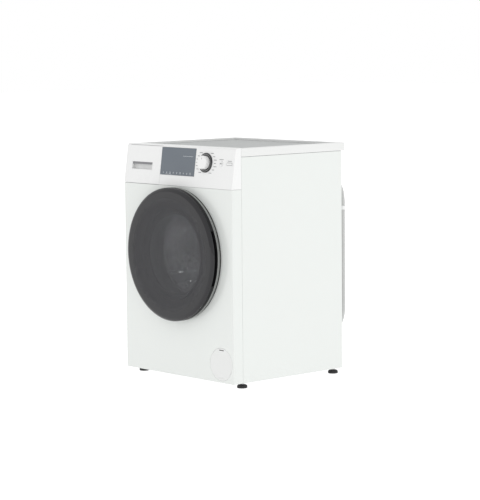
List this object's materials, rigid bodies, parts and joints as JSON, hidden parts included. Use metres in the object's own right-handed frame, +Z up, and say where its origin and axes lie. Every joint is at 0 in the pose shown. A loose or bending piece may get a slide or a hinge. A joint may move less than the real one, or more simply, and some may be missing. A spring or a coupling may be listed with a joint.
{
  "type": "front load washing machine",
  "caption": "Compact white front loader: enamelled cabinet, tinted round door, raked control fascia, sprung tub with belt-driven drum, drain pump, drain hose and levelling feet.",
  "frame": {"origin": "middle of the footprint, door to rearmost hose clip, on the floor", "axes": "+Z up, front with the door faces -Y, +X is right when seen from the front"},
  "size_m": [0.597, 0.613, 0.85],
  "materials": {
    "white_enamel": "smooth baked enamel, semi-gloss",
    "galvanised": "galvanised sheet",
    "white_plastic": "moulded, satin gloss",
    "grey_board": "fine grain laminate",
    "display_panel": "smooth slate grey window",
    "black_gloss": "polished black",
    "circuit": "circuit board and case",
    "grey_plastic": "moulded polypropylene",
    "blue_plastic": "moulded, glass-filled",
    "stainless": "brushed stainless steel",
    "cast_alloy": "as-cast",
    "ballast": "rough cast",
    "black_rubber": "matt moulded rubber",
    "grey_rubber": "smooth moulded rubber",
    "chrome_trim": "bright plated",
    "dark_plastic": "dark moulded rim",
    "tinted_window": "smoked, polished",
    "clear_glass": "pressed clear glass",
    "motor_paint": "dark enamel",
    "hose_grey": "corrugated polypropylene"
  },
  "bodies": {
    "cabinet": {"base_frame": "galvanised", "left_side_panel": "white_enamel", "right_side_panel": "white_enamel", "front_panel": "white_enamel", "rear_panel": "galvanised", "rear_access_cover": "galvanised", "top_frame": "galvanised", "control_fascia": "white_plastic", "worktop_frame": "white_plastic", "worktop_board": "grey_board", "control_display": "display_panel", "knob_bezel": "black_gloss", "control_board": "circuit", "dispenser_housing": "grey_plastic", "inlet_valves": "blue_plastic", "door_hinge_bracket": "white_enamel", "door_lock": "white_plastic", "drain_pump": "grey_plastic", "drain_outlet": "grey_plastic", "hose_clips": "white_plastic", "damper_cylinders": "motor_paint", "mains_gland": "black_rubber", "foot_lock_nuts": "stainless", "drain_hose": "hose_grey", "hose_end_cuff": "black_rubber", "sump_hose": "black_rubber", "suspension_springs": "stainless", "door_gasket": "grey_rubber"},
    "tub": {"tub_front": "grey_plastic", "tub_rear": "grey_plastic", "front_counterweight": "ballast", "top_counterweight": "ballast", "drum_bearings": "stainless", "motor": "motor_paint", "drive_belt": "black_rubber", "heating_element": "stainless", "damper_rods": "stainless"},
    "drum": {"drum_shell": "stainless", "drum_lifters": "white_plastic", "drum_spider": "cast_alloy", "drum_pulley": "cast_alloy"},
    "motor_rotor": {"motor_pulley": "stainless"},
    "impeller": {"pump_impeller": "black_gloss"},
    "filter": {"drain_filter": "grey_plastic"},
    "filter_flap": {"filter_door": "white_plastic"},
    "drawer": {"drawer_front": "white_plastic", "drawer_tray": "white_plastic"},
    "knob": {"program_knob": "white_plastic"},
    "power_key": {"power_button": "white_plastic"},
    "start_key": {"start_button": "white_plastic"},
    "door": {"door_cover": "tinted_window", "door_outer_ring": "dark_plastic", "door_trim_ring": "chrome_trim", "door_frame": "dark_plastic", "door_glass": "clear_glass"},
    "latch": {"latch_hook": "stainless"},
    "foot_front_left": {"foot_front_left": "black_rubber"},
    "foot_front_right": {"foot_front_right": "black_rubber"},
    "foot_rear_left": {"foot_rear_left": "black_rubber"},
    "foot_rear_right": {"foot_rear_right": "black_rubber"}
  },
  "joints": [
    {"name": "tub_float", "type": "slide", "parent": "cabinet", "child": "tub", "axis": [0, 0, 1], "range_m": [-0.008, 0.008], "stiffness_N_per_m": 20000, "springref_m": 0.02551, "deforming": ["suspension_springs", "sump_hose", "door_gasket"]},
    {"name": "drum_spin", "type": "hinge", "parent": "tub", "child": "drum", "pos_m": [0, -0.0255, 0.462], "axis": [0, 1, 0], "continuous": true},
    {"name": "motor_spin", "type": "hinge", "parent": "tub", "child": "motor_rotor", "pos_m": [0.07, 0.1845, 0.13], "axis": [0, 1, 0], "continuous": true},
    {"name": "pump_spin", "type": "hinge", "parent": "cabinet", "child": "impeller", "pos_m": [0.233, -0.1555, 0.086], "axis": [0, 1, 0], "continuous": true},
    {"name": "filter_turn", "type": "hinge", "parent": "cabinet", "child": "filter", "pos_m": [0.233, -0.2155, 0.086], "axis": [0, 1, 0], "range_deg": [0, 90]},
    {"name": "filter_door_hinge", "type": "hinge", "parent": "cabinet", "child": "filter_flap", "pos_m": [0.233, -0.2655, 0.036], "axis": [1, 0, 0], "range_deg": [0, 90]},
    {"name": "drawer_slide", "type": "slide", "parent": "cabinet", "child": "drawer", "axis": [0, -1, 0], "range_m": [0, 0.19]},
    {"name": "knob_turn", "type": "hinge", "parent": "cabinet", "child": "knob", "pos_m": [0.148, -0.25304, 0.79563], "axis": [0, -0.9903, 0.1392], "continuous": true},
    {"name": "power_press", "type": "slide", "parent": "cabinet", "child": "power_key", "axis": [0, 0.9903, -0.1392], "range_m": [0, 0.0015], "stiffness_N_per_m": 800},
    {"name": "start_press", "type": "slide", "parent": "cabinet", "child": "start_key", "axis": [0, 0.9903, -0.1392], "range_m": [0, 0.0015], "stiffness_N_per_m": 800},
    {"name": "door_hinge", "type": "hinge", "parent": "cabinet", "child": "door", "pos_m": [-0.25, -0.2775, 0.462], "axis": [0, 0, -1], "range_deg": [0, 120]},
    {"name": "latch_pivot", "type": "hinge", "parent": "door", "child": "latch", "pos_m": [0.206, -0.2745, 0.462], "axis": [0, 0, 1], "range_deg": [0, 6], "stiffness_Nm_per_rad": 0.05},
    {"name": "foot_front_left_height", "type": "slide", "parent": "cabinet", "child": "foot_front_left", "axis": [0, 0, -1], "range_m": [0, 0.012]},
    {"name": "foot_front_right_height", "type": "slide", "parent": "cabinet", "child": "foot_front_right", "axis": [0, 0, -1], "range_m": [0, 0.012]},
    {"name": "foot_rear_left_height", "type": "slide", "parent": "cabinet", "child": "foot_rear_left", "axis": [0, 0, -1], "range_m": [0, 0.012]},
    {"name": "foot_rear_right_height", "type": "slide", "parent": "cabinet", "child": "foot_rear_right", "axis": [0, 0, -1], "range_m": [0, 0.012]}
  ],
  "couplings": [
    {"joint": "motor_spin", "follows": "drum_spin", "ratio": 12.546}
  ]
}
